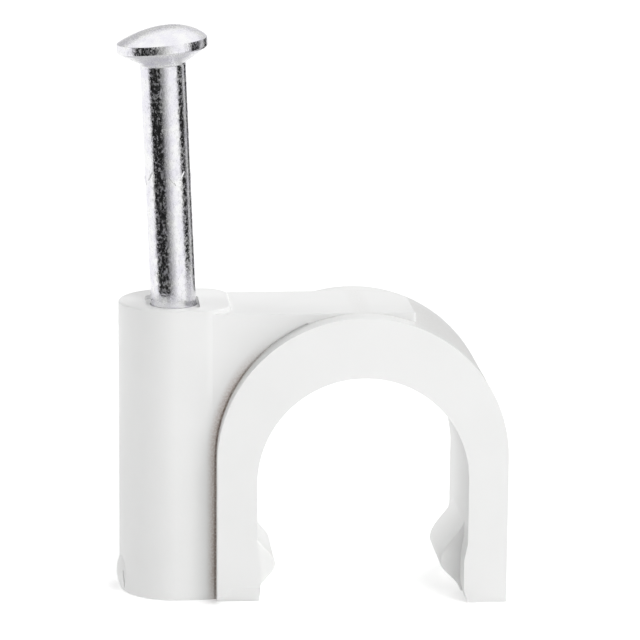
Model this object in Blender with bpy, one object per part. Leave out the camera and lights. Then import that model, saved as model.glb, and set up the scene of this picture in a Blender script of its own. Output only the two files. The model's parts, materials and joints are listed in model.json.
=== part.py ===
# Nail-in cable clip: one moulded plastic body and the hardened nail held in its boss.
# Metres, +Z up. The wall side is z = 0, the cable runs along Y, and the boss is at -X.
import math

import bmesh
import bpy
from mathutils import Matrix, Vector

MM = 0.001

# Cable channel
CHANNEL_RADIUS = 5.84 * MM      # half the inner width of the arch
CHANNEL_CENTRE_Z = 7.00 * MM    # channel centre above the wall
MOUTH_STEP = 0.20 * MM          # each leg is this much thicker below the channel
MOUTH_STEP_Z = 2.40 * MM        # height where that thickening is complete
MOUTH_STEP_RUN = 1.00 * MM      # height over which it grows

# Arch
SIDE_WALL = 2.19 * MM
CROWN_WALL = 3.36 * MM
ARCH_DEPTH = 8.60 * MM          # along the cable
LEAD_IN_WIDTH = 0.21 * MM       # slope inside the free foot that guides the cable in
LEAD_IN_HEIGHT = 0.72 * MM
TOE_RELIEF_DEPTH = 0.75 * MM    # slope cut under the front and rear of the boss leg
TOE_RELIEF_HEIGHT = 1.05 * MM
TOE_RELIEF_INSET = 0.62 * MM    # strip left beside the boss, with the smaller corner slope
TOE_CORNER_DEPTH = 0.55 * MM
TOE_CORNER_HEIGHT = 0.45 * MM

# Retaining nibs inside the legs
NIB_LENGTH = 5.10 * MM          # along the cable
NIB_CREST_Z = 1.85 * MM
BOSS_NIB_REACH = 1.13 * MM      # crest of the boss leg's nib, measured from the channel wall
BOSS_NIB_TOP_Z = 3.78 * MM
BOSS_NIB_FOOT_Z = 0.24 * MM
FREE_NIB_REACH = 1.33 * MM      # the free leg's nib is the larger one
FREE_NIB_TOP_Z = 4.48 * MM
FREE_NIB_FOOT_Z = 0.12 * MM
NIB_BLEND_SINK = 0.03 * MM      # the curve starts this deep in the wall, and so leaves it at an angle

# Boss that guides the nail, and the web from it over the arch
BOSS_WALL = 1.50 * MM           # plastic around the bore
BOSS_BACK_WALL = 1.49 * MM      # plastic from the bore's mouth to the boss's flat end in the web
BOSS_CORNER = 1.50 * MM
BOSS_OVERLAP = 0.84 * MM        # how far the boss runs into the arch leg
BOSS_RISE = 0.23 * MM           # boss top above the web
WEB_SET_BACK = 0.06 * MM        # the web's faces lie this far behind the boss's
CROWN_SINK = 0.02 * MM          # the arch's crown lies this much under the web's top
STRIKE_PAD_REACH = 2.92 * MM    # the web runs past the crown's centre by this much
PAD_FRONT_CORNER = 0.35 * MM    # plan radii of the strike pad's two corners
PAD_REAR_CORNER = 1.60 * MM
GATE_NUB_RADIUS = 1.00 * MM     # moulding vestige at the foot of the boss
GATE_NUB_PROUD = 0.23 * MM
GATE_NUB_HEIGHT = 1.65 * MM
GATE_NUB_LIFT = 0.25 * MM       # the vestige starts this far above the wall
GATE_NUB_ANGLE = math.radians(192)

# Nail
SHANK_RADIUS = 1.25 * MM
NAIL_LENGTH = 30.0 * MM         # tip to the top of the head
NAIL_STANDOUT = 15.34 * MM      # top of the head above the boss
NAIL_LEAN = math.radians(2.4)   # the guide bore and nail lean away from the arch
HEAD_RADIUS = 2.48 * MM
HEAD_DOME = 1.00 * MM
HEAD_RIM = 0.48 * MM
HEAD_RIM_ROUND = 0.16 * MM      # lower edge of the rim
HEAD_CONE = 0.67 * MM
NECK_FILLET = 0.30 * MM
POINT_LENGTH = 3.20 * MM
POINT_TIP_RADIUS = 0.12 * MM

# Guide bore
BORE_GRIP_GAP = 0.30 * MM       # between shank and bore
BORE_MOUTH_GAP = 0.36 * MM      # wider gap at the mouth
BORE_MOUTH_DEPTH = 3.00 * MM
BORE_MOUTH_CHAMFER = 0.15 * MM

# Finish of edges and curves
ARCH_EDGE_ROUND = 0.17 * MM
BOSS_EDGE_ROUND = 0.21 * MM
WEB_EDGE_ROUND = 0.19 * MM
EDGE_STEPS = 2
ARC_STEPS = 44                  # along a half circle
NIB_CURVE_STEPS = 7             # on each side of the crest
NAIL_SIDES = 48
OVERSHOOT = 1.0 * MM            # cutters pass the faces they cut by this much
ROOT_SINK = 0.6 * MM            # added shapes start this deep inside the wall that carries them

# Derived sizes
ARCH_HALF_WIDTH = CHANNEL_RADIUS + SIDE_WALL
ARCH_TOP_Z = CHANNEL_CENTRE_Z + CHANNEL_RADIUS + CROWN_WALL
ARCH_CENTRE_Z = ARCH_TOP_Z - ARCH_HALF_WIDTH
MOUTH_HALF_WIDTH = CHANNEL_RADIUS - MOUTH_STEP
BORE_GRIP_RADIUS = SHANK_RADIUS + BORE_GRIP_GAP
BORE_MOUTH_RADIUS = SHANK_RADIUS + BORE_MOUTH_GAP
BOSS_RADIUS = BORE_GRIP_RADIUS + BOSS_WALL
BOSS_REACH = BORE_MOUTH_RADIUS + BOSS_BACK_WALL
GATE_NUB_OUT = BOSS_RADIUS + GATE_NUB_PROUD - GATE_NUB_RADIUS
WEB_TOP_Z = ARCH_TOP_Z + CROWN_SINK
BOSS_TOP_Z = WEB_TOP_Z + BOSS_RISE
BOSS_TO_ARCH = BOSS_RADIUS + ARCH_HALF_WIDTH - BOSS_OVERLAP
LOW_X = GATE_NUB_OUT * math.cos(GATE_NUB_ANGLE) - GATE_NUB_RADIUS
HIGH_X = BOSS_TO_ARCH + ARCH_HALF_WIDTH
BOSS_X = -(LOW_X + HIGH_X) / 2  # puts the origin under the middle of the clip
ARCH_X = BOSS_X + BOSS_TO_ARCH


def clear_scene():
    for old in list(bpy.data.objects):
        bpy.data.objects.remove(old, do_unlink=True)


def plastic_material():
    material = bpy.data.materials.new("pale_grey_plastic")
    material.use_nodes = True
    shader = material.node_tree.nodes["Principled BSDF"]
    shader.inputs["Base Color"].default_value = (0.80, 0.80, 0.79, 1.0)
    shader.inputs["Roughness"].default_value = 0.45
    return material


def zinc_material():
    material = bpy.data.materials.new("zinc_plated_steel")
    material.use_nodes = True
    shader = material.node_tree.nodes["Principled BSDF"]
    shader.inputs["Base Color"].default_value = (0.62, 0.62, 0.64, 1.0)
    shader.inputs["Metallic"].default_value = 1.0
    shader.inputs["Roughness"].default_value = 0.18
    return material


def object_from_bmesh(name, bm):
    bmesh.ops.recalc_face_normals(bm, faces=bm.faces)
    mesh = bpy.data.meshes.new(name)
    bm.to_mesh(mesh)
    bm.free()
    obj = bpy.data.objects.new(name, mesh)
    bpy.context.scene.collection.objects.link(obj)
    return obj


def arc(centre, radius, start, end, steps):
    """Points of an arc in a plane, both ends included; angles in radians."""
    points = []
    for i in range(steps + 1):
        angle = start + (end - start) * i / steps
        points.append((centre[0] + radius * math.cos(angle), centre[1] + radius * math.sin(angle)))
    return points


def prism(name, outline, along, low, high):
    """Extrudes a closed outline. Along Y the outline is (x, z), along Z it is (x, y)."""
    bm = bmesh.new()
    if along == "Y":
        base = [bm.verts.new((u, low, v)) for u, v in outline]
        travel = Vector((0, high - low, 0))
    else:
        base = [bm.verts.new((u, v, low)) for u, v in outline]
        travel = Vector((0, 0, high - low))
    face = bm.faces.new(base)
    result = bmesh.ops.extrude_face_region(bm, geom=[face])
    moved = [item for item in result["geom"] if isinstance(item, bmesh.types.BMVert)]
    bmesh.ops.translate(bm, verts=moved, vec=travel)
    return object_from_bmesh(name, bm)


def turned(name, profile, sides):
    """Turns (radius, z) points about Z. The first and last points lie on the axis."""
    bm = bmesh.new()
    verts = [bm.verts.new((radius, 0, z)) for radius, z in profile]
    edges = [bm.edges.new(pair) for pair in zip(verts, verts[1:])]
    bmesh.ops.spin(bm, geom=verts + edges, cent=(0, 0, 0), axis=(0, 0, 1),
                   angle=2 * math.pi, steps=sides, use_merge=True)
    bmesh.ops.remove_doubles(bm, verts=bm.verts, dist=0.00001)
    return object_from_bmesh(name, bm)


def add_round(obj, width):
    bevel = obj.modifiers.new("round", "BEVEL")
    bevel.width = width
    bevel.segments = EDGE_STEPS
    bevel.limit_method = "ANGLE"
    bevel.angle_limit = math.radians(35)


def add_boolean(obj, other, operation):
    step = obj.modifiers.new(other.name, "BOOLEAN")
    step.operation = operation
    step.solver = "EXACT"
    step.object = other
    other.hide_render = True
    other.display_type = "WIRE"


def smooth(obj, angle=30):
    obj.data.shade_smooth()
    obj.data.set_sharp_from_angle(angle=math.radians(angle))


def arch_outline():
    """C-shaped section of the arch, from the boss foot over the crown to the free foot and back."""
    outer = arc((ARCH_X, ARCH_CENTRE_Z), ARCH_HALF_WIDTH, math.pi, 0, ARC_STEPS)
    inner = arc((ARCH_X, CHANNEL_CENTRE_Z), CHANNEL_RADIUS, 0, math.pi, ARC_STEPS)
    free_foot = [
        (ARCH_X + ARCH_HALF_WIDTH, 0),
        (ARCH_X + MOUTH_HALF_WIDTH + LEAD_IN_WIDTH, 0),
        (ARCH_X + MOUTH_HALF_WIDTH, LEAD_IN_HEIGHT),
        (ARCH_X + MOUTH_HALF_WIDTH, MOUTH_STEP_Z),
        (ARCH_X + CHANNEL_RADIUS, MOUTH_STEP_Z + MOUTH_STEP_RUN),
    ]
    boss_foot = [
        (ARCH_X - CHANNEL_RADIUS, MOUTH_STEP_Z + MOUTH_STEP_RUN),
        (ARCH_X - MOUTH_HALF_WIDTH, MOUTH_STEP_Z),
        (ARCH_X - MOUTH_HALF_WIDTH, 0),
        (ARCH_X - ARCH_HALF_WIDTH, 0),
    ]
    return outer + free_foot + inner + boss_foot


def make_arch():
    arch = prism("arch", arch_outline(), "Y", -ARCH_DEPTH / 2, ARCH_DEPTH / 2)
    add_round(arch, ARCH_EDGE_ROUND)
    return arch


def channel_cutter():
    """Clears the web out of the channel, and stops inside the arch's own wall."""
    radius = CHANNEL_RADIUS + SIDE_WALL / 2
    outline = arc((ARCH_X, CHANNEL_CENTRE_Z), radius, 0, math.pi, ARC_STEPS)
    outline += [(ARCH_X - radius, -OVERSHOOT), (ARCH_X + radius, -OVERSHOOT)]
    return prism("channel_cutter", outline, "Y", -ARCH_DEPTH, ARCH_DEPTH)


def make_boss():
    """Full-height column, round on the nail's side, with rounded corners where it meets the web."""
    corner_x = BOSS_X + BOSS_REACH - BOSS_CORNER
    corner_y = BOSS_RADIUS - BOSS_CORNER
    outline = arc((BOSS_X, 0), BOSS_RADIUS, math.pi / 2, 3 * math.pi / 2, ARC_STEPS)
    outline += arc((corner_x, -corner_y), BOSS_CORNER, -math.pi / 2, 0, ARC_STEPS // 4)
    outline += arc((corner_x, corner_y), BOSS_CORNER, 0, math.pi / 2, ARC_STEPS // 4)
    boss = prism("boss", outline, "Z", 0, BOSS_TOP_Z)
    add_round(boss, BOSS_EDGE_ROUND)
    return boss


def make_web():
    """Slab from the boss over the arch's crown, with rounded corners where it ends as the strike pad."""
    half = BOSS_RADIUS - WEB_SET_BACK
    end = ARCH_X + STRIKE_PAD_REACH
    outline = [(BOSS_X, half), (BOSS_X, -half)]
    outline += arc((end - PAD_FRONT_CORNER, PAD_FRONT_CORNER - half), PAD_FRONT_CORNER,
                   -math.pi / 2, 0, ARC_STEPS // 8)
    outline += arc((end - PAD_REAR_CORNER, half - PAD_REAR_CORNER), PAD_REAR_CORNER,
                   0, math.pi / 2, ARC_STEPS // 4)
    web = prism("web", outline, "Z", CHANNEL_CENTRE_Z, WEB_TOP_Z)
    add_round(web, WEB_EDGE_ROUND)
    add_boolean(web, channel_cutter(), "DIFFERENCE")
    return web


def nib_section(side, reach, top_z, foot_z):
    """Section of a nib, from its top round the crest to its foot, closed inside the leg's wall."""
    wall_x = ARCH_X + side * CHANNEL_RADIUS
    points = []
    for i in range(NIB_CURVE_STEPS + 1):
        swell = (1 - math.cos(math.pi * i / NIB_CURVE_STEPS)) / 2
        out = (reach + NIB_BLEND_SINK) * swell - NIB_BLEND_SINK
        points.append((wall_x - side * out, top_z + (NIB_CREST_Z - top_z) * i / NIB_CURVE_STEPS))
    foot = MOUTH_STEP - NIB_BLEND_SINK
    for i in range(1, NIB_CURVE_STEPS + 1):
        swell = (1 + math.cos(math.pi * i / NIB_CURVE_STEPS)) / 2
        out = foot + (reach - foot) * swell
        points.append((wall_x - side * out, NIB_CREST_Z + (foot_z - NIB_CREST_Z) * i / NIB_CURVE_STEPS))
    root_x = wall_x + side * ROOT_SINK
    return points + [(root_x, foot_z), (root_x, top_z)]


def make_nib(name, side, reach, top_z, foot_z):
    """Rounded ridge along the cable; side is -1 on the boss leg and +1 on the free leg."""
    section = nib_section(side, reach, top_z, foot_z)
    return prism(name, section, "Y", -NIB_LENGTH / 2, NIB_LENGTH / 2)


def toe_cutter(name, face, inset, depth, height):
    """Wedge under the boss leg; face is -1 at the front and +1 at the rear."""
    front = face * ARCH_DEPTH / 2
    slope = depth / height
    low = (front - face * slope * (height + OVERSHOOT), -OVERSHOOT)
    high = (front + face * slope * OVERSHOOT, height + OVERSHOOT)
    far = (front + face * slope * OVERSHOOT, -OVERSHOOT)
    start = ARCH_X - ARCH_HALF_WIDTH + inset
    end = ARCH_X - CHANNEL_RADIUS + BOSS_NIB_REACH + OVERSHOOT
    bm = bmesh.new()
    base = [bm.verts.new((start, y, z)) for y, z in (low, high, far)]
    result = bmesh.ops.extrude_face_region(bm, geom=[bm.faces.new(base)])
    moved = [item for item in result["geom"] if isinstance(item, bmesh.types.BMVert)]
    bmesh.ops.translate(bm, verts=moved, vec=(end - start, 0, 0))
    return object_from_bmesh(name, bm)


def toe_cutters():
    """At both ends of the boss leg's foot: the main slope, and a smaller one right across."""
    cutters = []
    for face, place in ((-1, "front"), (1, "rear")):
        cutters.append(toe_cutter(place + "_toe_cutter", face, TOE_RELIEF_INSET,
                                  TOE_RELIEF_DEPTH, TOE_RELIEF_HEIGHT))
        cutters.append(toe_cutter(place + "_corner_cutter", face, -OVERSHOOT / 2,
                                  TOE_CORNER_DEPTH, TOE_CORNER_HEIGHT))
    return cutters


def make_gate_nub():
    """Small upright vestige beside the foot of the boss."""
    x = BOSS_X + GATE_NUB_OUT * math.cos(GATE_NUB_ANGLE)
    y = GATE_NUB_OUT * math.sin(GATE_NUB_ANGLE)
    shoulder = GATE_NUB_PROUD * 2
    profile = [(0, GATE_NUB_LIFT), (GATE_NUB_RADIUS, GATE_NUB_LIFT)]
    profile += [(GATE_NUB_RADIUS, GATE_NUB_HEIGHT - shoulder)]
    top = arc((GATE_NUB_RADIUS - shoulder, GATE_NUB_HEIGHT - shoulder), shoulder, 0, math.pi / 2, 4)
    profile += top[1:] + [(0, GATE_NUB_HEIGHT)]
    nub = turned("gate_nub", profile, 28)
    nub.location = (x, y, 0)
    return nub


def nail_frame():
    """Places the nail's own axis, z = 0 at its tip, in the clip."""
    up = Vector((-math.sin(NAIL_LEAN), 0, math.cos(NAIL_LEAN)))
    at_boss_top = Vector((BOSS_X, 0, BOSS_TOP_Z))
    tip = at_boss_top + up * (NAIL_STANDOUT - NAIL_LENGTH)
    return Matrix.Translation(tip) @ Matrix.Rotation(-NAIL_LEAN, 4, "Y")


def bore_cutter():
    """Stepped guide bore on the nail's axis, right through the boss."""
    grip = BORE_GRIP_RADIUS
    mouth = BORE_MOUTH_RADIUS
    top = NAIL_LENGTH - NAIL_STANDOUT
    bottom = top - BOSS_TOP_Z / math.cos(NAIL_LEAN) - 2 * OVERSHOOT
    profile = [
        (0, bottom),
        (grip, bottom),
        (grip, top - BORE_MOUTH_DEPTH - mouth + grip),
        (mouth, top - BORE_MOUTH_DEPTH),
        (mouth, top - BORE_MOUTH_CHAMFER),
        (mouth + BORE_MOUTH_CHAMFER + OVERSHOOT, top + OVERSHOOT),
        (0, top + OVERSHOOT),
    ]
    cutter = turned("bore_cutter", profile, NAIL_SIDES)
    cutter.matrix_world = nail_frame()
    return cutter


def make_clip_body(material):
    body = make_boss()
    body.name = "clip_body"
    added = [
        make_web(),
        make_arch(),
        make_nib("boss_leg_nib", -1, BOSS_NIB_REACH, BOSS_NIB_TOP_Z, BOSS_NIB_FOOT_Z),
        make_nib("free_leg_nib", 1, FREE_NIB_REACH, FREE_NIB_TOP_Z, FREE_NIB_FOOT_Z),
        make_gate_nub(),
    ]
    for shape in added:
        add_boolean(body, shape, "UNION")
    for cutter in [bore_cutter()] + toe_cutters():
        add_boolean(body, cutter, "DIFFERENCE")
    body.data.materials.append(material)
    smooth(body)
    return body


def nail_profile():
    """(radius, z) from the tip to the middle of the domed head."""
    rim_top = NAIL_LENGTH - HEAD_DOME
    rim_bottom = rim_top - HEAD_RIM
    neck = rim_bottom - HEAD_CONE
    dome_radius = (HEAD_RADIUS ** 2 + HEAD_DOME ** 2) / (2 * HEAD_DOME)
    half_angle = math.asin(HEAD_RADIUS / dome_radius)
    profile = [(0, 0), (POINT_TIP_RADIUS, 0), (SHANK_RADIUS, POINT_LENGTH)]
    profile += [(SHANK_RADIUS, neck - NECK_FILLET), (SHANK_RADIUS + NECK_FILLET / 3, neck)]
    profile += arc((HEAD_RADIUS - HEAD_RIM_ROUND, rim_bottom + HEAD_RIM_ROUND), HEAD_RIM_ROUND,
                   -math.pi / 4, 0, 4)
    profile += [(HEAD_RADIUS, rim_top)]
    for i in range(1, 8):
        angle = half_angle * (1 - i / 8)
        z = NAIL_LENGTH - dome_radius * (1 - math.cos(angle))
        profile.append((dome_radius * math.sin(angle), z))
    profile.append((0, NAIL_LENGTH))
    return profile


def make_nail(material):
    nail = turned("nail", nail_profile(), NAIL_SIDES)
    nail.matrix_world = nail_frame()
    nail.data.materials.append(material)
    smooth(nail)
    return nail


def main():
    clear_scene()
    make_clip_body(plastic_material())
    make_nail(zinc_material())


main()
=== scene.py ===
# Nail-in cable clip: a moulded arch with a nail waiting in its boss, seen as in the photograph.
import json
import math

import bmesh
import bpy
from mathutils import Matrix, Vector

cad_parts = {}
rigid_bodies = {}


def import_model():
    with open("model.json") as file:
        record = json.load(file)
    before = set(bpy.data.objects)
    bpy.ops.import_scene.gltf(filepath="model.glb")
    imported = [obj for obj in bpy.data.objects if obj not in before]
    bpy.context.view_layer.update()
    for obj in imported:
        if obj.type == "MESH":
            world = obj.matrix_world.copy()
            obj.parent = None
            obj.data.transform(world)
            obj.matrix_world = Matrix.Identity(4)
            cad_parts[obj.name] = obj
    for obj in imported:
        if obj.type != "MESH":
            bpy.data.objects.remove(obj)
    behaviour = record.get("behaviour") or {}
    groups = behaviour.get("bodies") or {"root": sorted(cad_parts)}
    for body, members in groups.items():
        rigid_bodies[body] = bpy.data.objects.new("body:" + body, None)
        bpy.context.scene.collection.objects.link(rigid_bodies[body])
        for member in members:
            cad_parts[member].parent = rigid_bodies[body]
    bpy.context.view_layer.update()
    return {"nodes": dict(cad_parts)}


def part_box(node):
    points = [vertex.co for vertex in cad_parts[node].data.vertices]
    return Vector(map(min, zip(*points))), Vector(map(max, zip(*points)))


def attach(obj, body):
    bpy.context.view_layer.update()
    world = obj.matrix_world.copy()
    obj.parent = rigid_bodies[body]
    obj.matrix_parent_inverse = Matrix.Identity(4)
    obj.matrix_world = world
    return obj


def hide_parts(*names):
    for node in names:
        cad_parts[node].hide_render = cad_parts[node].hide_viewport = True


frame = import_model()
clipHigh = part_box("clip_body")[1]
print("frame loaded:", ", ".join(sorted(frame["nodes"])))

mm = 0.001
scene = bpy.context.scene

# sizes of the moulded body; its places along X follow from the frame's box
clipSizes = {
    "channelRadius": 5.84 * mm,
    "channelHeight": 7.00 * mm,     # channel centre above the wall
    "mouthStep": 0.20 * mm,
    "mouthStepHeight": 2.40 * mm,
    "mouthStepRun": 1.00 * mm,
    "sideWall": 2.19 * mm,
    "crownWall": 3.36 * mm,
    "archDepth": 8.60 * mm,
    "leadInWidth": 0.21 * mm,
    "leadInHeight": 0.72 * mm,
    "archEdge": 0.33 * mm,          # round of the free leg's inner edge; the other edges are crisper
    "archCrispness": 0.25,
    "bossWall": 1.50 * mm,
    "bossReach": 3.10 * mm,         # from the boss's axis to its side in the arch
    "bossCorner": 1.50 * mm,
    "bossOverlap": 0.84 * mm,
    "bossRise": 0.23 * mm,
    "bossEdge": 0.12 * mm,
    "webSetBack": 0.06 * mm,
    "webEdge": 0.09 * mm,
    "crownSink": 0.02 * mm,
    "padReach": 2.92 * mm,
    "padFrontCorner": 0.15 * mm,
    "padRearCorner": 2.40 * mm,
    "creaseWidth": 0.10 * mm,       # fine groove where the arch leaves the boss and web
    "creaseDepth": 0.12 * mm,
    "creaseEnd": math.radians(112),  # where it runs out near the crown
    "arcSteps": 96,
    "edgeSteps": 4,
    "sharpAngle": math.radians(35),  # edges that turn more than this are rounded
}
nibSizes = {
    "boss": {"side": -1, "reach": 1.13 * mm, "topHeight": 3.78 * mm, "footHeight": 0.24 * mm},
    "free": {"side": 1, "reach": 1.33 * mm, "topHeight": 4.48 * mm, "footHeight": 0.12 * mm},
    "length": 5.10 * mm,
    "crestHeight": 1.85 * mm,
    "endRound": 0.12 * mm,
    "blendSink": 0.03 * mm,
    "rootSink": 0.60 * mm,
    "steps": 16,
}
toeSizes = {
    "depth": 1.05 * mm,             # both slopes end in one line on the wall plane
    "height": 1.05 * mm,
    "inset": 0.28 * mm,
    "insetLean": 0.36,              # the tall slope's end leans away from the boss
    "cornerHeight": 0.58 * mm,
}
gateSizes = {                       # soft swelling at the boss's foot where the plastic came in
    "radius": 1.00 * mm,
    "proud": 0.23 * mm,
    "middle": 1.10 * mm,            # height of its fullest place
    "halfHeight": 1.50 * mm,
    "lift": 0.08 * mm,
    "steps": 24,
    "angle": math.radians(192),
    "slitAngle": math.radians(203),
    "slitWidth": 0.08 * mm,         # thin gap where the gate was snapped off
    "slitDepth": 0.16 * mm,
    "slitLow": 0.25 * mm,
    "slitHigh": 1.25 * mm,
}
nailSizes = {
    "shankRadius": 1.25 * mm,
    "length": 29.9 * mm,
    "standout": 15.24 * mm,
    "lean": math.radians(2.4),
    "headRadius": 2.48 * mm,
    "dome": 0.78 * mm,
    "rim": 0.60 * mm,
    "rimRound": 0.16 * mm,          # lower edge of the rim
    "rimTopRound": 0.04 * mm,
    "cone": 0.67 * mm,
    "headTilt": math.radians(2.8),  # the head was struck a little askew
    "domeShift": 0.34 * mm,
    "neckFillet": 0.34 * mm,
    "pointLength": 3.20 * mm,
    "tipRadius": 0.12 * mm,
    "sides": 128,
    "domeSteps": 28,
}
boreSizes = {
    "gripGap": 0.30 * mm,
    "collarGap": 0.05 * mm,         # a thin collar under the recess holds the nail
    "collarHeight": 1.20 * mm,
    "collarStep": 0.25 * mm,
}
recessSizes = {                     # shallow oblong recess in the boss's top, round the nail
    "left": 1.57 * mm,
    "right": 1.38 * mm,
    "front": 2.45 * mm,
    "rear": 1.74 * mm,
    "frontCorner": 0.55 * mm,
    "rearCorner": 1.25 * mm,
    "depth": 0.24 * mm,
}
overshoot = 1.0 * mm                # cutters pass the faces they cut by this much

archHalf = clipSizes["channelRadius"] + clipSizes["sideWall"]
archTop = clipSizes["channelHeight"] + clipSizes["channelRadius"] + clipSizes["crownWall"]
archMiddle = archTop - archHalf
archX = clipHigh.x - archHalf
boreGrip = nailSizes["shankRadius"] + boreSizes["gripGap"]
bossRadius = boreGrip + clipSizes["bossWall"]
bossX = archX - bossRadius - archHalf + clipSizes["bossOverlap"]
webTop = archTop + clipSizes["crownSink"]
bossTop = webTop + clipSizes["bossRise"]
webHalf = bossRadius - clipSizes["webSetBack"]


def addObject(name, bm):
    bmesh.ops.recalc_face_normals(bm, faces=bm.faces)
    mesh = bpy.data.meshes.new(name)
    bm.to_mesh(mesh)
    bm.free()
    piece = bpy.data.objects.new(name, mesh)
    scene.collection.objects.link(piece)
    return piece


def arcPoints(centre, radius, start, end, steps):
    angles = [start + (end - start) * i / steps for i in range(steps + 1)]
    return [(centre[0] + radius * math.cos(a), centre[1] + radius * math.sin(a)) for a in angles]


def prism(name, outline, along, low, high):
    # along Y the outline is (x, z), along Z it is (x, y), along X it is (y, z)
    place = {
        "X": lambda u, v: (low, u, v),
        "Y": lambda u, v: (u, low, v),
        "Z": lambda u, v: (u, v, low),
    }[along]
    heading = {"X": Vector((1, 0, 0)), "Y": Vector((0, 1, 0)), "Z": Vector((0, 0, 1))}[along]
    bm = bmesh.new()
    face = bm.faces.new([bm.verts.new(place(u, v)) for u, v in outline])
    grown = bmesh.ops.extrude_face_region(bm, geom=[face])["geom"]
    moved = [g for g in grown if isinstance(g, bmesh.types.BMVert)]
    bmesh.ops.translate(bm, verts=moved, vec=heading * (high - low))
    return addObject(name, bm)


def roundEdges(piece, width):
    bevel = piece.modifiers.new("softEdges", "BEVEL")
    bevel.width = width
    bevel.segments = clipSizes["edgeSteps"]
    bevel.limit_method = "ANGLE"
    bevel.angle_limit = clipSizes["sharpAngle"]


def combine(piece, other, operation):
    step = piece.modifiers.new(other.name, "BOOLEAN")
    step.operation = operation
    step.solver = "EXACT"
    step.object = other


def plainMesh(piece, name):
    # the evaluated shape as a mesh of its own, with every modifier used up
    bpy.context.view_layer.update()
    evaluated = piece.evaluated_get(bpy.context.evaluated_depsgraph_get())
    mesh = bpy.data.meshes.new_from_object(evaluated)
    mesh.name = name
    finished = bpy.data.objects.new(name, mesh)
    scene.collection.objects.link(finished)
    return finished


def remove(*pieces):
    for piece in pieces:
        bpy.data.objects.remove(piece, do_unlink=True)


# moulded body
def archOutline():
    s = clipSizes
    mouthHalf = s["channelRadius"] - s["mouthStep"]
    stepTop = s["mouthStepHeight"] + s["mouthStepRun"]
    outer = arcPoints((archX, archMiddle), archHalf, math.pi, 0, s["arcSteps"])
    inner = arcPoints((archX, s["channelHeight"]), s["channelRadius"], 0, math.pi, s["arcSteps"])
    freeFoot = [
        (archX + archHalf, 0),
        (archX + mouthHalf + s["leadInWidth"], 0),
        (archX + mouthHalf, s["leadInHeight"]),
        (archX + mouthHalf, s["mouthStepHeight"]),
        (archX + s["channelRadius"], stepTop),
    ]
    bossFoot = [
        (archX - s["channelRadius"], stepTop),
        (archX - mouthHalf, s["mouthStepHeight"]),
        (archX - mouthHalf, 0),
        (archX - archHalf, 0),
    ]
    return outer + freeFoot + inner + bossFoot


def isFreeLegInner(place):
    # true beside the inner edges of the free leg, which are rounder than the rest
    low = place.z < clipSizes["channelHeight"]
    fromChannel = math.hypot(place.x - archX, place.z - clipSizes["channelHeight"])
    inner = place.x < archX + archHalf - 0.5 * mm and fromChannel < archHalf
    return place.x > archX and low and inner


def makeArch():
    s = clipSizes
    half = s["archDepth"] / 2
    arch = prism("arch", archOutline(), "Y", -half, half)
    bm = bmesh.new()
    bm.from_mesh(arch.data)
    weight = bm.edges.layers.float.new("bevel_weight_edge")
    for edge in bm.edges:
        one, other = [vert.co for vert in edge.verts]
        throughDepth = abs(one.y - other.y) > half
        if throughDepth:
            edge[weight] = s["archCrispness"] if edge.calc_face_angle() > s["sharpAngle"] else 0
        else:
            edge[weight] = 1 if isFreeLegInner((one + other) / 2) else s["archCrispness"]
    bm.to_mesh(arch.data)
    bm.free()
    roundEdges(arch, s["archEdge"])
    arch.modifiers["softEdges"].limit_method = "WEIGHT"
    return arch


def makeBoss():
    s = clipSizes
    cornerX = bossX + s["bossReach"] - s["bossCorner"]
    cornerY = bossRadius - s["bossCorner"]
    outline = arcPoints((bossX, 0), bossRadius, math.pi / 2, 3 * math.pi / 2, s["arcSteps"])
    outline += arcPoints((cornerX, -cornerY), s["bossCorner"], -math.pi / 2, 0, s["arcSteps"] // 4)
    outline += arcPoints((cornerX, cornerY), s["bossCorner"], 0, math.pi / 2, s["arcSteps"] // 4)
    boss = prism("boss", outline, "Z", 0, bossTop)
    roundEdges(boss, s["bossEdge"])
    return boss


def makeWeb():
    s = clipSizes
    end = archX + s["padReach"]
    outline = [(bossX, webHalf), (bossX, -webHalf)]
    outline += arcPoints((end - s["padFrontCorner"], s["padFrontCorner"] - webHalf),
                         s["padFrontCorner"], -math.pi / 2, 0, 12)
    outline += arcPoints((end - s["padRearCorner"], webHalf - s["padRearCorner"]),
                         s["padRearCorner"], 0, math.pi / 2, 24)
    web = prism("web", outline, "Z", s["channelHeight"], webTop)
    roundEdges(web, s["webEdge"])
    return web


def makeChannelCutter():
    radius = clipSizes["channelRadius"] + clipSizes["sideWall"] / 2
    outline = arcPoints((archX, clipSizes["channelHeight"]), radius, 0, math.pi, clipSizes["arcSteps"])
    outline += [(archX - radius, -overshoot), (archX + radius, -overshoot)]
    return prism("channelCutter", outline, "Y", -clipSizes["archDepth"], clipSizes["archDepth"])


def nibSection(one):
    s = nibSizes
    side, crest = one["side"], s["crestHeight"]
    wallX = archX + side * clipSizes["channelRadius"]
    points = []
    for i in range(s["steps"] + 1):
        t = i / s["steps"]
        out = (one["reach"] + s["blendSink"]) * (1 - math.cos(math.pi * t)) / 2 - s["blendSink"]
        points.append((wallX - side * out, one["topHeight"] + (crest - one["topHeight"]) * t))
    foot = clipSizes["mouthStep"] - s["blendSink"]
    for i in range(1, s["steps"] + 1):
        t = i / s["steps"]
        out = foot + (one["reach"] - foot) * (1 + math.cos(math.pi * t)) / 2
        points.append((wallX - side * out, crest + (one["footHeight"] - crest) * t))
    rootX = wallX + side * s["rootSink"]
    return points + [(rootX, one["footHeight"]), (rootX, one["topHeight"])]


def makeNib(leg):
    half = nibSizes["length"] / 2
    nib = prism(leg + "LegNib", nibSection(nibSizes[leg]), "Y", -half, half)
    roundEdges(nib, nibSizes["endRound"])
    return nib


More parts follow.
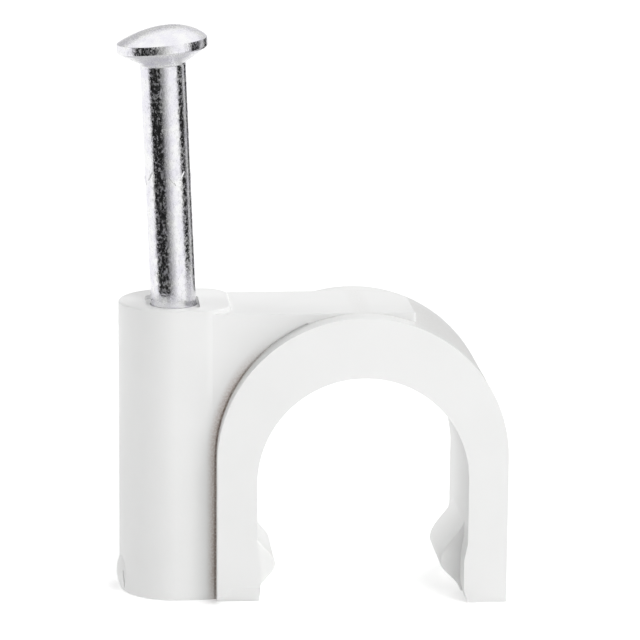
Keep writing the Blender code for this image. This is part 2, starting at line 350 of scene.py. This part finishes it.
def makeToeCutter(name, face, inset, lean, height):
    front = face * clipSizes["archDepth"] / 2
    slope = toeSizes["depth"] / height
    wedge = [
        (front - face * slope * (height + overshoot), -overshoot),
        (front + face * slope * overshoot, height + overshoot),
        (front + face * slope * overshoot, -overshoot),
    ]
    start = archX - archHalf + inset
    end = archX - clipSizes["channelRadius"] + nibSizes["boss"]["reach"] + overshoot
    cutter = prism(name, wedge, "X", start, end)
    for vert in cutter.data.vertices:
        if vert.co.x < (start + end) / 2:
            vert.co.x += lean * vert.co.z
    return cutter


def makeToeCutters():
    s = toeSizes
    cutters = []
    for face, place in ((-1, "front"), (1, "rear")):
        cutters.append(makeToeCutter(place + "Toe", face, s["inset"], s["insetLean"], s["height"]))
        cutters.append(makeToeCutter(place + "ToeCorner", face, -overshoot / 2, 0, s["cornerHeight"]))
    return cutters


def makeCreaseCutters():
    # a fine groove follows the arch's outer edge down the boss, front and rear
    s = clipSizes
    deep = webHalf - s["creaseDepth"]
    cutters = []
    for face, place in ((-1, "front"), (1, "rear")):
        wide = archHalf + s["creaseWidth"]
        outer = arcPoints((archX, archMiddle), wide, math.pi, s["creaseEnd"], s["arcSteps"])
        inner = arcPoints((archX, archMiddle), archHalf - s["creaseWidth"], s["creaseEnd"], math.pi,
                          s["arcSteps"])
        outline = [(archX - wide, -overshoot)] + outer + inner
        outline += [(archX - archHalf + s["creaseWidth"], -overshoot)]
        low, high = sorted((face * deep, face * (bossRadius + s["creaseWidth"])))
        cutters.append(prism(place + "Crease", outline, "Y", low, high))
    return cutters


def turnedPiece(name, profile, sides):
    bm = bmesh.new()
    verts = [bm.verts.new((radius, 0, z)) for radius, z in profile]
    edges = [bm.edges.new(pair) for pair in zip(verts, verts[1:])]
    bmesh.ops.spin(bm, geom=verts + edges, cent=(0, 0, 0), axis=(0, 0, 1),
                   angle=2 * math.pi, steps=sides, use_merge=True)
    bmesh.ops.remove_doubles(bm, verts=bm.verts, dist=0.005 * mm)
    return addObject(name, bm)


def makeGateNub():
    s = gateSizes
    out = bossRadius + s["proud"] - s["radius"]
    low = math.asin((s["lift"] - s["middle"]) / s["halfHeight"])
    profile = [(0, s["lift"])]
    for i in range(s["steps"]):
        angle = low + (math.pi / 2 - low) * i / s["steps"]
        profile.append((s["radius"] * math.cos(angle), s["middle"] + s["halfHeight"] * math.sin(angle)))
    profile.append((0, s["middle"] + s["halfHeight"]))
    nub = turnedPiece("gateNub", profile, 96)
    nub.location = (bossX + out * math.cos(s["angle"]), out * math.sin(s["angle"]), 0)
    return nub


def makeGateSlit():
    s = gateSizes
    turn = Matrix.Rotation(s["slitAngle"], 2)
    outline = []
    for i, j in ((-1, -1), (1, -1), (1, 1), (-1, 1)):
        corner = turn @ Vector((bossRadius + i * s["slitDepth"], j * s["slitWidth"] / 2))
        outline.append((bossX + corner.x, corner.y))
    return prism("gateSlit", outline, "Z", s["slitLow"], s["slitHigh"])


def nailPlace():
    # the nail's own axis, with 0 at its tip, placed in the clip
    s = nailSizes
    up = Vector((-math.sin(s["lean"]), 0, math.cos(s["lean"])))
    tip = Vector((bossX, 0, bossTop)) + up * (s["standout"] - s["length"])
    return Matrix.Translation(tip) @ Matrix.Rotation(-s["lean"], 4, "Y")


def makeBoreCutter():
    s = boreSizes
    top = nailSizes["length"] - nailSizes["standout"]
    bottom = top - bossTop / math.cos(nailSizes["lean"]) - 2 * overshoot
    collar = nailSizes["shankRadius"] + s["collarGap"]
    profile = [
        (0, bottom),
        (boreGrip, bottom),
        (boreGrip, top - s["collarHeight"]),
        (collar, top - s["collarHeight"] + s["collarStep"]),
        (collar, top + overshoot),
        (0, top + overshoot),
    ]
    cutter = turnedPiece("boreCutter", profile, 96)
    cutter.matrix_world = nailPlace()
    return cutter


def makeRecessCutter():
    s = recessSizes
    outline = []
    for i, (sideways, forward) in enumerate(((1, -1), (1, 1), (-1, 1), (-1, -1))):
        corner = s["rearCorner"] if forward > 0 else s["frontCorner"]
        x = s["right"] - corner if sideways > 0 else corner - s["left"]
        y = s["rear"] - corner if forward > 0 else corner - s["front"]
        outline += arcPoints((bossX + x, y), corner, math.pi / 2 * (i - 1), math.pi / 2 * i, 14)
    return prism("recessCutter", outline, "Z", bossTop - s["depth"], bossTop + overshoot)


def shadeSoftly(piece, angle):
    piece.data.shade_smooth()
    piece.data.set_sharp_from_angle(angle=math.radians(angle))
    weighted = piece.modifiers.new("evenShading", "WEIGHTED_NORMAL")
    weighted.keep_sharp = True
    weighted.weight = 90


def makeBody():
    # the groove is cut into the boss and web before the arch joins them
    web = makeWeb()
    channel = makeChannelCutter()
    combine(web, channel, "DIFFERENCE")
    upright = makeBoss()
    combine(upright, web, "UNION")
    creases = makeCreaseCutters()
    for crease in creases:
        combine(upright, crease, "DIFFERENCE")
    core = plainMesh(upright, "core")
    added = [makeArch(), makeNib("boss"), makeNib("free"), makeGateNub()]
    cutters = [makeRecessCutter(), makeBoreCutter(), makeGateSlit()] + makeToeCutters()
    for shape in added:
        combine(core, shape, "UNION")
    for cutter in cutters:
        combine(core, cutter, "DIFFERENCE")
    body = plainMesh(core, "mouldedBody")
    remove(web, channel, upright, core, *creases, *added, *cutters)
    shadeSoftly(body, 28)
    return body


# materials
def addNode(tree, kind, **values):
    node = tree.nodes.new(kind)
    for key, value in values.items():
        if hasattr(node, key):
            setattr(node, key, value)
        else:
            node.inputs[key].default_value = value
    return node


def makeMaterial(name):
    material = bpy.data.materials.new(name)
    material.use_nodes = True
    tree = material.node_tree
    return material, tree, tree.nodes["Principled BSDF"]


def arithmetic(tree, operation, *values):
    node = addNode(tree, "ShaderNodeMath", operation=operation)
    for socket, value in zip(node.inputs, values):
        if isinstance(value, (int, float)):
            socket.default_value = value
        else:
            tree.links.new(value, socket)
    return node.outputs[0]


def rescale(tree, value, source, result, blend="LINEAR"):
    node = addNode(tree, "ShaderNodeMapRange", interpolation_type=blend)
    node.inputs["From Min"].default_value, node.inputs["From Max"].default_value = source
    node.inputs["To Min"].default_value, node.inputs["To Max"].default_value = result
    tree.links.new(value, node.inputs["Value"])
    return node.outputs["Result"]


def fade(tree, value, start, end, low=0.0):
    return rescale(tree, value, (start, end), (low, 1.0), "SMOOTHSTEP")


def noise(tree, place, **values):
    node = addNode(tree, "ShaderNodeTexNoise", **values)
    tree.links.new(place, node.inputs["Vector"])
    return node.outputs["Fac"]


def twoTones(tree, value, span, tones):
    node = addNode(tree, "ShaderNodeValToRGB")
    for mark, position, tone in zip(node.color_ramp.elements, span, tones):
        mark.position = position
        mark.color = tone
    tree.links.new(value, node.inputs["Fac"])
    return node.outputs["Color"]


def roughen(tree, shader, height, strength, distance):
    node = addNode(tree, "ShaderNodeBump", Strength=strength, Distance=distance)
    tree.links.new(height, node.inputs["Height"])
    tree.links.new(node.outputs["Normal"], shader.inputs["Normal"])


def product(tree, *values):
    result = values[0]
    for value in values[1:]:
        result = arithmetic(tree, "MULTIPLY", result, value)
    return result


# painted shade: the arch's cast shadow and the darkness of the crease between the arch and the boss,
# painted in warm tones into the colour
paintedShadeSizes = {
    "reach": 0.62 * mm,             # how far the painted warm shade spreads over the boss
    "line": 0.05 * mm,              # width of the painted dark line of shade in the corner
    "lineCore": 0.01 * mm,
    # colours of the painted shade: warm over the boss, darker in the corner
    "paintedWarmShade": (0.56, 0.485, 0.435, 1),
    "paintedDarkShade": (0.40, 0.33, 0.29, 1),
    "wallReach": 0.32 * mm,         # spread up the arch's side wall, and where it is full
    "wallCore": 0.05 * mm,
    "inset": 0.09 * mm,
    "crownStart": 0.55,             # shares of the arch's half width between which it sets in
    "crownEnd": 1.02,
    "crownLine": 0.10,              # what is left of the line at the crown
    "footHeight": 1.4 * mm,
    "footShare": 0.55,              # what is left of both at the foot
    "speckScale": 9000.0,           # specks that break both painted shades up
    "specks": (0.42, 0.56),
    "warmPatch": 0.60,
    "darkPatch": 0.10,
}


def paintedCreaseShade(tree, place):
    # masks of the painted shade: a broad warm shadow beside the arch and a dark line in the crease
    s = paintedShadeSizes
    axes = addNode(tree, "ShaderNodeSeparateXYZ")
    tree.links.new(place, axes.inputs["Vector"])
    specks = noise(tree, place, Scale=s["speckScale"], Detail=2.0)

    # distance from the arch's outer face, which is upright below the arch's middle
    across = arithmetic(tree, "SUBTRACT", axes.outputs["X"], archX)
    above = arithmetic(tree, "SUBTRACT", axes.outputs["Z"], archMiddle)
    above = arithmetic(tree, "MAXIMUM", above, 0.0)
    square = arithmetic(tree, "ADD", product(tree, across, across), product(tree, above, above))
    outside = arithmetic(tree, "SUBTRACT", arithmetic(tree, "SQRT", square), archHalf)

    sideways = arithmetic(tree, "ABSOLUTE", axes.outputs["Y"])
    near = product(
        tree,
        fade(tree, sideways, webHalf + s["wallReach"], webHalf + s["wallCore"]),
        fade(tree, outside, -s["inset"], 0.0),
        fade(tree, axes.outputs["Z"], 0.0, s["footHeight"], s["footShare"]),
    )
    # painted shadow that the arch casts over the boss and web
    broad = product(
        tree,
        fade(tree, outside, s["reach"], 0.0),
        fade(tree, across, -s["crownStart"] * archHalf, -s["crownEnd"] * archHalf),
        near,
        fade(tree, specks, *s["specks"], s["warmPatch"]),
    )
    # painted dark line of shade in the crease's corner
    line = product(
        tree,
        fade(tree, outside, s["line"], s["lineCore"]),
        fade(tree, across, -s["crownStart"] * archHalf, -archHalf, s["crownLine"]),
        near,
        fade(tree, specks, *s["specks"], s["darkPatch"]),
    )
    return broad, line


# satin moulded plastic
plasticFinish = {
    "tones": ((0.872, 0.875, 0.868, 1), (0.892, 0.893, 0.888, 1)),
    "drift": (0.35, 0.70),
    "driftScale": 260.0,
    "grainScale": 7000.0,
    "roughness": (0.30, 0.42),
    "bumpStrength": 0.12,
    "bumpHeight": 0.03 * mm,
}


def makePlastic():
    s = plasticFinish
    material, tree, shader = makeMaterial("palePlastic")
    link = tree.links.new
    shader.inputs["IOR"].default_value = 1.49
    shader.inputs["Specular IOR Level"].default_value = 0.5
    place = addNode(tree, "ShaderNodeTexCoord").outputs["Object"]

    # slow drift of tone through the moulding
    drift = noise(tree, place, Scale=s["driftScale"], Detail=2.0)
    colour = twoTones(tree, drift, s["drift"], s["tones"])
    # the painted shade of the crease is mixed into the base colour
    for share, shade in zip(paintedCreaseShade(tree, place), ("paintedWarmShade", "paintedDarkShade")):
        mix = addNode(tree, "ShaderNodeMixRGB")
        link(share, mix.inputs["Fac"])
        link(colour, mix.inputs["Color1"])
        mix.inputs["Color2"].default_value = paintedShadeSizes[shade]
        colour = mix.outputs["Color"]
    link(colour, shader.inputs["Base Color"])

    # spark-eroded mould texture: satin gloss with a fine grain
    grain = noise(tree, place, Scale=s["grainScale"], Detail=3.0, Roughness=0.6)
    link(rescale(tree, grain, (0.0, 1.0), s["roughness"]), shader.inputs["Roughness"])
    roughen(tree, shader, grain, s["bumpStrength"], s["bumpHeight"])
    return material


# bright zinc on drawn wire
zincFinish = {
    "tones": ((0.86, 0.85, 0.91, 1), (0.96, 0.96, 0.96, 1)),
    "clouds": (0.38, 0.62),
    "cloudScale": 1400.0,
    "pits": (0.44, 0.62),
    "pitScale": 7200.0,
    "pitStretch": 0.70,             # pits are a little longer along the shank
    "roughness": (0.06, 0.42),
    "bumpStrength": 0.30,
    "bumpHeight": 0.04 * mm,
}


def makeZinc():
    s = zincFinish
    material, tree, shader = makeMaterial("brightZinc")
    link = tree.links.new
    shader.inputs["Metallic"].default_value = 1.0
    place = addNode(tree, "ShaderNodeTexCoord").outputs["Object"]

    # faint violet cast in patches
    cloud = noise(tree, place, Scale=s["cloudScale"], Detail=3.0)
    link(twoTones(tree, cloud, s["clouds"], s["tones"]), shader.inputs["Base Color"])

    # rough pits in a bright skin
    along = addNode(tree, "ShaderNodeMapping")
    along.inputs["Scale"].default_value = (1.0, 1.0, s["pitStretch"])
    link(place, along.inputs["Vector"])
    pits = noise(tree, along.outputs["Vector"], Scale=s["pitScale"], Detail=3.0, Roughness=0.7)
    link(rescale(tree, pits, s["pits"], s["roughness"]), shader.inputs["Roughness"])
    roughen(tree, shader, pits, s["bumpStrength"], s["bumpHeight"])
    return material


# nail: its profile is turned by Geometry Nodes
def nailProfile():
    # from the tip up to the crown, as pairs of radius and height
    s = nailSizes
    shank, head, tip = s["shankRadius"], s["headRadius"], s["tipRadius"]
    fillet, low, high = s["neckFillet"], s["rimRound"], s["rimTopRound"]
    rimTop = s["length"] - s["dome"]
    rimBottom = rimTop - s["rim"]
    filletHeight = rimBottom - s["cone"] - fillet * 0.55
    profile = [(0, 0), (tip * 0.7, 0), (tip, tip * 0.3), (shank, s["pointLength"])]
    # two more rings keep the shading of the long shank straight
    profile += [(shank, s["pointLength"] + 0.05 * mm), (shank, filletHeight - 0.10 * mm)]
    profile += arcPoints((shank + fillet, filletHeight), fillet, math.pi, math.radians(128), 8)
    profile += arcPoints((head - low, rimBottom + low), low, math.radians(-60), 0, 10)
    profile += arcPoints((head - high, rimTop - high), high, 0, math.radians(48), 5)
    domeRadius = (head ** 2 + s["dome"] ** 2) / (2 * s["dome"])
    edgeAngle = math.asin(head / domeRadius)
    for i in range(2, s["domeSteps"]):
        angle = edgeAngle * (1 - i / s["domeSteps"])
        height = s["length"] - domeRadius * (1 - math.cos(angle))
        profile.append((domeRadius * math.sin(angle), height))
    profile.append((0, s["length"]))
    return profile


def newTree(name, inputs):
    tree = bpy.data.node_groups.new(name, "GeometryNodeTree")
    tree.interface.new_socket("Geometry", in_out="INPUT", socket_type="NodeSocketGeometry")
    tree.interface.new_socket("Geometry", in_out="OUTPUT", socket_type="NodeSocketGeometry")
    for label, kind, value in inputs:
        socket = tree.interface.new_socket(label, in_out="INPUT", socket_type=kind)
        if value is not None:
            socket.default_value = value
    start = tree.nodes.new("NodeGroupInput")
    end = tree.nodes.new("NodeGroupOutput")
    return tree, start, end


def endTree(tree, start, end, output):
    # every tree closes with real geometry that carries its material
    realize = tree.nodes.new("GeometryNodeRealizeInstances")
    paint = tree.nodes.new("GeometryNodeSetMaterial")
    tree.links.new(output, realize.inputs["Geometry"])
    tree.links.new(realize.outputs["Geometry"], paint.inputs["Geometry"])
    tree.links.new(start.outputs["Material"], paint.inputs["Material"])
    tree.links.new(paint.outputs["Geometry"], end.inputs["Geometry"])


def lathe():
    tree, start, end = newTree("lathe", [
        ("Sides", "NodeSocketInt", 64),
        ("Guide Radius", "NodeSocketFloat", 0.001),
        ("Material", "NodeSocketMaterial", None),
    ])
    link = tree.links.new
    guide = addNode(tree, "GeometryNodeCurvePrimitiveCircle")
    link(start.outputs["Sides"], guide.inputs["Resolution"])
    link(start.outputs["Guide Radius"], guide.inputs["Radius"])
    profile = addNode(tree, "GeometryNodeMeshToCurve")
    link(start.outputs["Geometry"], profile.inputs["Mesh"])
    sweep = addNode(tree, "GeometryNodeCurveToMesh")
    link(guide.outputs["Curve"], sweep.inputs["Curve"])
    link(profile.outputs["Curve"], sweep.inputs["Profile Curve"])
    weld = addNode(tree, "GeometryNodeMergeByDistance")
    weld.inputs["Distance"].default_value = 0.004 * mm
    link(sweep.outputs["Mesh"], weld.inputs["Geometry"])
    smooth = addNode(tree, "GeometryNodeSetShadeSmooth")
    link(weld.outputs["Geometry"], smooth.inputs["Geometry"])
    endTree(tree, start, end, smooth.outputs["Geometry"])
    return tree


def useTree(piece, tree, values):
    modifier = piece.modifiers.new(tree.name, "NODES")
    modifier.node_group = tree
    for item in tree.interface.items_tree:
        if item.in_out == "INPUT" and item.name in values:
            modifier[item.identifier] = values[item.name]
    return modifier


def askew(point):
    # tilts what lies above the neck, and slides the crown of the dome sideways
    s = nailSizes
    rimTop = s["length"] - s["dome"]
    neck = rimTop - s["rim"] - s["cone"]
    share = min(max((point.z - neck + s["neckFillet"]) / (s["cone"] + s["neckFillet"]), 0), 1)
    moved = point.copy()
    moved.z += share * math.tan(s["headTilt"]) * point.x
    crown = max(point.z - rimTop, 0) / s["dome"]
    moved.x += s["domeShift"] * crown
    return moved


def makeNail(material):
    guideRadius = nailSizes["shankRadius"]
    bm = bmesh.new()
    # the sweep turns the outline's Y downwards
    verts = [bm.verts.new((radius - guideRadius, -height, 0)) for radius, height in nailProfile()]
    for pair in zip(verts, verts[1:]):
        bm.edges.new(pair)
    outline = addObject("nailOutline", bm)
    useTree(outline, lathe(), {
        "Sides": nailSizes["sides"],
        "Guide Radius": guideRadius,
        "Material": material,
    })
    nail = plainMesh(outline, "zincNail")
    remove(outline)
    bm = bmesh.new()
    bm.from_mesh(nail.data)
    bmesh.ops.recalc_face_normals(bm, faces=bm.faces)
    for vert in bm.verts:
        vert.co = askew(vert.co)
    bm.to_mesh(nail.data)
    bm.free()
    nail.data.transform(nailPlace())
    return nail


# nicks that the heading machine's jaws leave round the shank
gripSizes = {
    "height": 21.60 * mm,           # above the tip
    "pairs": 4,
    "firstAngle": math.radians(-67),
    "strokes": 2,                   # each pair is a chevron that opens upwards
    "spread": 0.30 * mm,            # from the chevron's middle to each stroke's
    "stagger": 0.13 * mm,           # one stroke sits higher than the other
    "tilt": math.radians(-36),
    "length": 0.60 * mm,
    "width": 0.10 * mm,
    "proud": 0.06 * mm,
}


def gripRing():
    # strokes are set round the shank in pairs, and the two of a pair lean apart
    tree, start, end = newTree("gripRing", [
        ("Count", "NodeSocketInt", 8),
        ("Radius", "NodeSocketFloat", 0.001),
        ("Height", "NodeSocketFloat", 0.02),
        ("First Angle", "NodeSocketFloat", 0.0),
        ("Half Gap", "NodeSocketFloat", 0.1),
        ("Stagger", "NodeSocketFloat", 0.0),
        ("Tilt", "NodeSocketFloat", 0.5),
        ("Material", "NodeSocketMaterial", None),
    ])
    link = tree.links.new
    points = addNode(tree, "GeometryNodePoints")
    link(start.outputs["Count"], points.inputs["Count"])
    index = addNode(tree, "GeometryNodeInputIndex").outputs["Index"]
    odd = arithmetic(tree, "MODULO", index, 2.0)
    leaning = arithmetic(tree, "MULTIPLY_ADD", odd, 2.0, -1.0)
    pair = arithmetic(tree, "FLOOR", arithmetic(tree, "DIVIDE", index, 2.0))
    pairAngle = arithmetic(tree, "DIVIDE", 4 * math.pi, start.outputs["Count"])
    around = arithmetic(tree, "MULTIPLY_ADD", pair, pairAngle, start.outputs["First Angle"])
    around = arithmetic(tree, "MULTIPLY_ADD", leaning, start.outputs["Half Gap"], around)
    radius = start.outputs["Radius"]
    place = addNode(tree, "ShaderNodeCombineXYZ")
    link(arithmetic(tree, "MULTIPLY", arithmetic(tree, "COSINE", around), radius), place.inputs["X"])
    link(arithmetic(tree, "MULTIPLY", arithmetic(tree, "SINE", around), radius), place.inputs["Y"])
    link(arithmetic(tree, "MULTIPLY_ADD", leaning, start.outputs["Stagger"], start.outputs["Height"]),
         place.inputs["Z"])
    link(place.outputs["Vector"], points.inputs["Position"])
    turn = addNode(tree, "ShaderNodeCombineXYZ")
    link(arithmetic(tree, "MULTIPLY", leaning, start.outputs["Tilt"]), turn.inputs["X"])
    link(around, turn.inputs["Z"])
    copies = addNode(tree, "GeometryNodeInstanceOnPoints")
    link(points.outputs["Points"], copies.inputs["Points"])
    link(start.outputs["Geometry"], copies.inputs["Instance"])
    link(turn.outputs["Vector"], copies.inputs["Rotation"])
    endTree(tree, start, end, copies.outputs["Instances"])
    return tree


def makeGripMarks(material):
    s = gripSizes
    bm = bmesh.new()
    bmesh.ops.create_icosphere(bm, subdivisions=3, radius=1.0)
    for vert in bm.verts:
        vert.co.x *= s["proud"]
        vert.co.y *= s["width"] / 2
        vert.co.z *= s["length"] / 2
    stroke = addObject("gripStroke", bm)
    stroke.data.shade_smooth()
    useTree(stroke, gripRing(), {
        "Count": s["pairs"] * s["strokes"],
        "Radius": nailSizes["shankRadius"],
        "Height": s["height"],
        "First Angle": s["firstAngle"],
        "Half Gap": s["spread"] / nailSizes["shankRadius"],
        "Stagger": s["stagger"],
        "Tilt": s["tilt"],
        "Material": material,
    })
    marks = plainMesh(stroke, "gripMarks")
    remove(stroke)
    marks.data.transform(nailPlace())
    return marks


# camera at the photograph's angle
cameraSizes = {
    "azimuth": math.radians(4.995),
    "elevation": math.radians(12.527),
    "roll": math.radians(0.447),
    "distance": 190 * mm,
    "target": Vector((bossX + 8.14 * mm, 0, 15.188 * mm)),
    "lens": 192.4,
    "sensor": 36.0,
}


def makeCamera():
    s = cameraSizes
    azimuth, elevation, roll = s["azimuth"], s["elevation"], s["roll"]
    back = Vector((-math.sin(azimuth) * math.cos(elevation), -math.cos(azimuth) * math.cos(elevation),
                   math.sin(elevation)))
    level = Vector((math.cos(azimuth), -math.sin(azimuth), 0))
    upright = level.cross(-back)
    right = math.cos(roll) * level + math.sin(roll) * upright
    up = math.cos(roll) * upright - math.sin(roll) * level
    place = Matrix((right, up, back)).transposed().to_4x4()
    place.translation = s["target"] + s["distance"] * back
    data = bpy.data.cameras.new("camera")
    data.sensor_width = s["sensor"]
    data.lens = s["lens"]
    data.clip_start = 0.01
    camera = bpy.data.objects.new("camera", data)
    camera.matrix_world = place
    scene.collection.objects.link(camera)
    scene.camera = camera


# pale floor that keeps the contact shadow
floorSizes = {
    "size": 3.0,
    "sink": 0.02 * mm,
    "paper": (0.90, 0.90, 0.90, 1),
    "glow": (0.262, 0.38),          # towards the set, towards the camera
}


def makeFloor():
    s = floorSizes
    bm = bmesh.new()
    bmesh.ops.create_grid(bm, x_segments=8, y_segments=8, size=s["size"])
    floor = addObject("floor", bm)
    floor.location.z = -s["sink"]
    material, tree, shader = makeMaterial("paleFloor")
    tree.nodes.remove(shader)
    output = tree.nodes["Material Output"]
    link = tree.links.new
    paper = addNode(tree, "ShaderNodeBsdfDiffuse", Color=s["paper"])
    glow = addNode(tree, "ShaderNodeEmission")
    seen = addNode(tree, "ShaderNodeLightPath").outputs["Is Camera Ray"]
    link(rescale(tree, seen, (0.0, 1.0), s["glow"]), glow.inputs["Strength"])
    both = addNode(tree, "ShaderNodeAddShader")
    link(paper.outputs[0], both.inputs[0])
    link(glow.outputs[0], both.inputs[1])
    link(both.outputs[0], output.inputs["Surface"])
    floor.data.materials.append(material)


# round reflector walls close to the set: only polished surfaces see them
wallSizes = {
    "radius": 40 * mm,
    "steps": 96,
    "rings": [                      # name, lower and upper edge, tones
        ("reflectorWall", 0.3 * mm, 34 * mm, "bands"),
        ("upperWall", 34 * mm, 57 * mm, "upperBands"),
    ],
    "bands": [                      # heading, tone there; 0 is towards the camera
        (-180, 1.00),
        (-76, 1.00),
        (-73, 0.015),
        (-13, 0.015),
        (-10, 0.24),
        (0, 0.32),
        (30, 0.98),
        (72, 1.00),
        (76, 0.02),
        (109, 0.02),
        (112, 0.62),
        (128, 0.62),
        (132, 0.02),
        (153, 0.02),
        (157, 1.00),
        (180, 1.00),
    ],
    "upperBands": [
        (-180, 0.56),
        (-100, 0.50),
        (-60, 0.95),
        (60, 0.95),
        (110, 0.62),
        (180, 0.70),
    ],
    "floorTone": 0.60,
}


def makeRing(name, low, high):
    s = wallSizes
    bm = bmesh.new()
    rings = []
    for z in (low, high):
        places = arcPoints((0, 0), s["radius"], -math.pi / 2, 3 * math.pi / 2, s["steps"])[:-1]
        rings.append([bm.verts.new((x, y, z)) for x, y in places])
    for i in range(s["steps"]):
        k = (i + 1) % s["steps"]
        bm.faces.new((rings[0][i], rings[0][k], rings[1][k], rings[1][i]))
    ring = addObject(name, bm)
    ring.location = (bossX, 0, 0)
    ring.rotation_euler.z = -cameraSizes["azimuth"]
    return ring


def onlyReflected(card):
    card.visible_camera = False
    card.visible_diffuse = False
    card.visible_shadow = False
    card.visible_transmission = False


def glowMaterial(name):
    material, tree, shader = makeMaterial(name)
    tree.nodes.remove(shader)
    glow = addNode(tree, "ShaderNodeEmission")
    tree.links.new(glow.outputs[0], tree.nodes["Material Output"].inputs["Surface"])
    return material, glow


def bandedGlow(name, bands):
    material, glow = glowMaterial(name)
    tree = material.node_tree
    link = tree.links.new
    place = addNode(tree, "ShaderNodeTexCoord")
    turned = addNode(tree, "ShaderNodeMapping")
    turned.inputs["Rotation"].default_value = (0, 0, math.radians(90))
    link(place.outputs["Object"], turned.inputs["Vector"])
    heading = addNode(tree, "ShaderNodeTexGradient", gradient_type="RADIAL")
    link(turned.outputs["Vector"], heading.inputs["Vector"])
    ramp = addNode(tree, "ShaderNodeValToRGB")
    marks = ramp.color_ramp.elements
    while len(marks) < len(bands):
        marks.new(0.5)
    for mark, (angle, tone) in zip(marks, bands):
        mark.position = (angle + 180) / 360
        mark.color = (tone, tone, tone, 1)
    link(heading.outputs["Fac"], ramp.inputs["Fac"])
    link(ramp.outputs["Color"], glow.inputs["Color"])
    return material


def makeWalls():
    s = wallSizes
    for name, low, high, bands in s["rings"]:
        wall = makeRing(name, low, high)
        wall.data.materials.append(bandedGlow(name + "Glow", s[bands]))
        onlyReflected(wall)
    bm = bmesh.new()
    bmesh.ops.create_circle(bm, cap_ends=True, segments=s["steps"], radius=s["radius"])
    disc = addObject("floorReflection", bm)
    disc.location = (bossX, 0, -0.01 * mm)
    material, glow = glowMaterial("floorReflectionGlow")
    glow.inputs["Strength"].default_value = s["floorTone"]
    disc.data.materials.append(material)
    onlyReflected(disc)


# soft studio light
lightSizes = {
    "world": 0.18,
    "distance": 0.55,
    "size": 0.32,
    "target": Vector((0, 0, 10 * mm)),
    "lamps": [                      # name, azimuth, elevation, watts
        ("front", 25, 48, 0.68),
        ("key", 40, 20, 0.58),
        ("keyHigh", 40, 48, 0.50),
        ("right", 90, 30, 0.34),
        ("rightBack", 135, 48, 1.05),
        ("leftBack", -110, 20, 1.02),
        ("back", -150, 48, 0.12),
    ],
}


def makeLamp(name, azimuth, elevation, power):
    s = lightSizes
    data = bpy.data.lights.new(name, "AREA")
    data.shape = "DISK"
    data.size = s["size"]
    data.energy = power
    lamp = bpy.data.objects.new(name, data)
    a, e = math.radians(azimuth), math.radians(elevation)
    away = Vector((math.sin(a) * math.cos(e), -math.cos(a) * math.cos(e), math.sin(e)))
    lamp.location = s["target"] + away * s["distance"]
    lamp.rotation_euler = away.to_track_quat("Z", "Y").to_euler()
    lamp.visible_glossy = False     # polished surfaces see the reflector wall instead
    scene.collection.objects.link(lamp)


def makeWorld():
    world = bpy.data.worlds.new("studio")
    scene.world = world
    world.use_nodes = True
    tree = world.node_tree
    background = tree.nodes["Background"]
    background.inputs["Color"].default_value = (1, 1, 1, 1)
    # white to the camera and in reflections, dimmer as light
    path = addNode(tree, "ShaderNodeLightPath")
    seen = arithmetic(tree, "MAXIMUM", path.outputs["Is Camera Ray"], path.outputs["Is Glossy Ray"])
    strength = rescale(tree, seen, (0.0, 1.0), (lightSizes["world"], 1.0))
    tree.links.new(strength, background.inputs["Strength"])


scene.view_settings.view_transform = "Standard"
makeCamera()
makeFloor()
makeWalls()
for lamp in lightSizes["lamps"]:
    makeLamp(*lamp)
makeWorld()
print("camera, floor and light are set")

plastic = makePlastic()
body = makeBody()
body.data.materials.clear()
body.data.materials.append(plastic)
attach(body, "root")
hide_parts("clip_body")
print("moulded body:", len(body.data.polygons), "faces")

zinc = makeZinc()
nail = makeNail(zinc)
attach(nail, "root")
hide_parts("nail")
print("nail:", len(nail.data.polygons), "faces")

marks = makeGripMarks(zinc)
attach(marks, "root")
print("grip marks:", len(marks.data.polygons), "faces")
